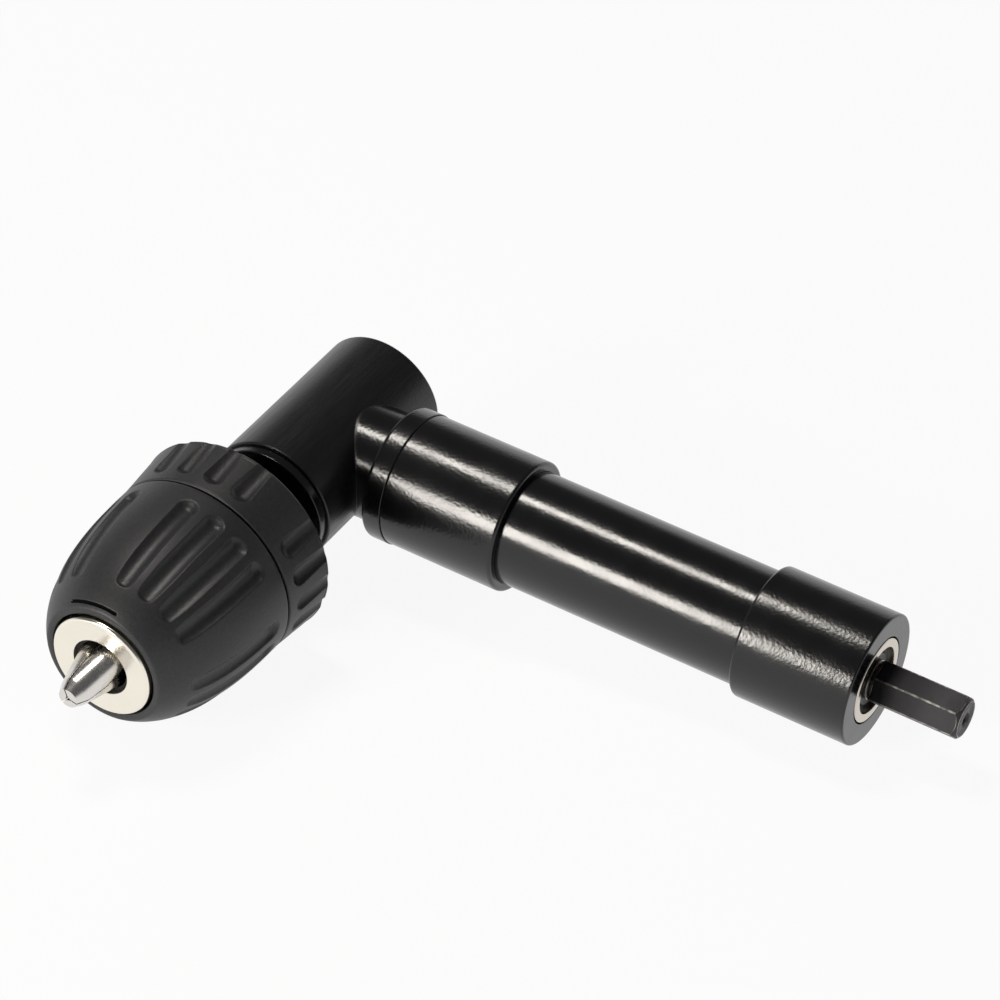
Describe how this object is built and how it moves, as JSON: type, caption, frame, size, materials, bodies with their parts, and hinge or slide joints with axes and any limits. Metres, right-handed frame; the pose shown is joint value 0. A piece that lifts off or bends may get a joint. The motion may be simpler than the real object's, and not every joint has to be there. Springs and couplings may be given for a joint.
{
  "type": "right angle drill attachment",
  "caption": "Right angle drill attachment: a hex shank in a stepped round arm, a bevel gear head at its end and a keyless three-jaw chuck square to the arm.",
  "frame": {"origin": "centre of the hex shank's end face, on the input axis", "axes": "+X out along the input shank and away from the head, -Y along the chuck axis out of its nose, +Z square to both"},
  "size_m": [0.1605, 0.1052, 0.0426],
  "materials": {
    "painted_housing": "gloss black paint with fine orange peel",
    "turned_steel": "turned steel",
    "bearing_steel": "ground bearing steel",
    "bearing_shield": "stamped steel, dull",
    "black_oxide_steel": "black oxide, satin",
    "gear_steel": "machined and hardened steel",
    "sleeve_plastic": "moulded nylon with fine grain, charcoal",
    "nickel_ring": "satin nickel plate",
    "balls_and_cage": "polished balls in a stamped cage",
    "jaw_steel": "bright ground steel"
  },
  "bodies": {
    "housing": {"head_housing": "painted_housing", "head_rear_cap": "painted_housing", "spindle_cover_ring": "painted_housing", "arm_lock_ring": "painted_housing", "arm_front_sleeve": "painted_housing", "arm_tube": "painted_housing", "arm_end_housing": "painted_housing", "bearing_spacer": "turned_steel", "spindle_front_outer_ring": "bearing_steel", "spindle_rear_outer_ring": "bearing_steel", "input_inner_outer_ring": "bearing_steel", "input_end_outer_ring": "bearing_steel", "input_end_shield": "bearing_shield"},
    "input_drive": {"input_shaft": "black_oxide_steel", "input_pinion": "gear_steel", "pinion_pin": "turned_steel", "input_circlip": "black_oxide_steel", "input_inner_race": "bearing_steel", "input_end_race": "bearing_steel"},
    "output_drive": {"output_spindle": "black_oxide_steel", "output_gear": "gear_steel", "gear_key": "turned_steel", "spindle_circlip": "black_oxide_steel", "spindle_front_race": "bearing_steel", "spindle_rear_race": "bearing_steel", "chuck_body": "black_oxide_steel", "chuck_rear_sleeve": "sleeve_plastic", "chuck_nose_ring": "nickel_ring", "chuck_screw": "turned_steel", "thrust_race": "bearing_steel"},
    "chuck_sleeve": {"chuck_front_sleeve": "sleeve_plastic", "jaw_nut": "turned_steel", "nut_band": "turned_steel"},
    "spindle_front_cage": {"spindle_front_balls": "balls_and_cage"},
    "spindle_rear_cage": {"spindle_rear_balls": "balls_and_cage"},
    "input_inner_cage": {"input_inner_balls": "balls_and_cage"},
    "input_end_cage": {"input_end_balls": "balls_and_cage"},
    "thrust_cage": {"thrust_balls": "balls_and_cage"},
    "first_jaw": {"jaw_1": "jaw_steel"},
    "second_jaw": {"jaw_2": "jaw_steel"},
    "third_jaw": {"jaw_3": "jaw_steel"}
  },
  "joints": [
    {"name": "output_spin", "type": "hinge", "parent": "housing", "child": "output_drive", "pos_m": [-0.1392, 0, 0], "axis": [0, -1, 0], "continuous": true},
    {"name": "input_spin", "type": "hinge", "parent": "housing", "child": "input_drive", "pos_m": [0, 0, 0], "axis": [1, 0, 0], "continuous": true},
    {"name": "spindle_front_cage_spin", "type": "hinge", "parent": "housing", "child": "spindle_front_cage", "pos_m": [-0.1392, 0, 0], "axis": [0, -1, 0], "continuous": true},
    {"name": "spindle_rear_cage_spin", "type": "hinge", "parent": "housing", "child": "spindle_rear_cage", "pos_m": [-0.1392, 0, 0], "axis": [0, -1, 0], "continuous": true},
    {"name": "input_inner_cage_spin", "type": "hinge", "parent": "housing", "child": "input_inner_cage", "pos_m": [-0.12, 0, 0], "axis": [1, 0, 0], "continuous": true},
    {"name": "input_end_cage_spin", "type": "hinge", "parent": "housing", "child": "input_end_cage", "pos_m": [-0.02, 0, 0], "axis": [1, 0, 0], "continuous": true},
    {"name": "sleeve_turn", "type": "hinge", "parent": "output_drive", "child": "chuck_sleeve", "pos_m": [-0.1392, 0, 0], "axis": [0, -1, 0], "range_deg": [0, 4900]},
    {"name": "thrust_cage_turn", "type": "hinge", "parent": "output_drive", "child": "thrust_cage", "pos_m": [-0.1392, 0, 0], "axis": [0, -1, 0], "range_deg": [0, 2450]},
    {"name": "first_jaw_slide", "type": "slide", "parent": "output_drive", "child": "first_jaw", "axis": [0.1698, 0.9659, 0.1953], "range_m": [0, 0.0177]},
    {"name": "second_jaw_slide", "type": "slide", "parent": "output_drive", "child": "second_jaw", "axis": [-0.2541, 0.9659, 0.0494], "range_m": [0, 0.0177]},
    {"name": "third_jaw_slide", "type": "slide", "parent": "output_drive", "child": "third_jaw", "axis": [0.0843, 0.9659, -0.2447], "range_m": [0, 0.0177]}
  ],
  "couplings": [
    {"joint": "input_spin", "follows": "output_spin", "ratio": 1},
    {"joint": "spindle_front_cage_spin", "follows": "output_spin", "ratio": 0.3875},
    {"joint": "spindle_rear_cage_spin", "follows": "output_spin", "ratio": 0.4},
    {"joint": "input_inner_cage_spin", "follows": "output_spin", "ratio": 0.3615},
    {"joint": "input_end_cage_spin", "follows": "output_spin", "ratio": 0.375},
    {"joint": "thrust_cage_turn", "follows": "sleeve_turn", "ratio": 0.5},
    {"joint": "first_jaw_slide", "follows": "sleeve_turn", "m_per_rad": 0.00020695},
    {"joint": "second_jaw_slide", "follows": "sleeve_turn", "m_per_rad": 0.00020695},
    {"joint": "third_jaw_slide", "follows": "sleeve_turn", "m_per_rad": 0.00020695}
  ]
}
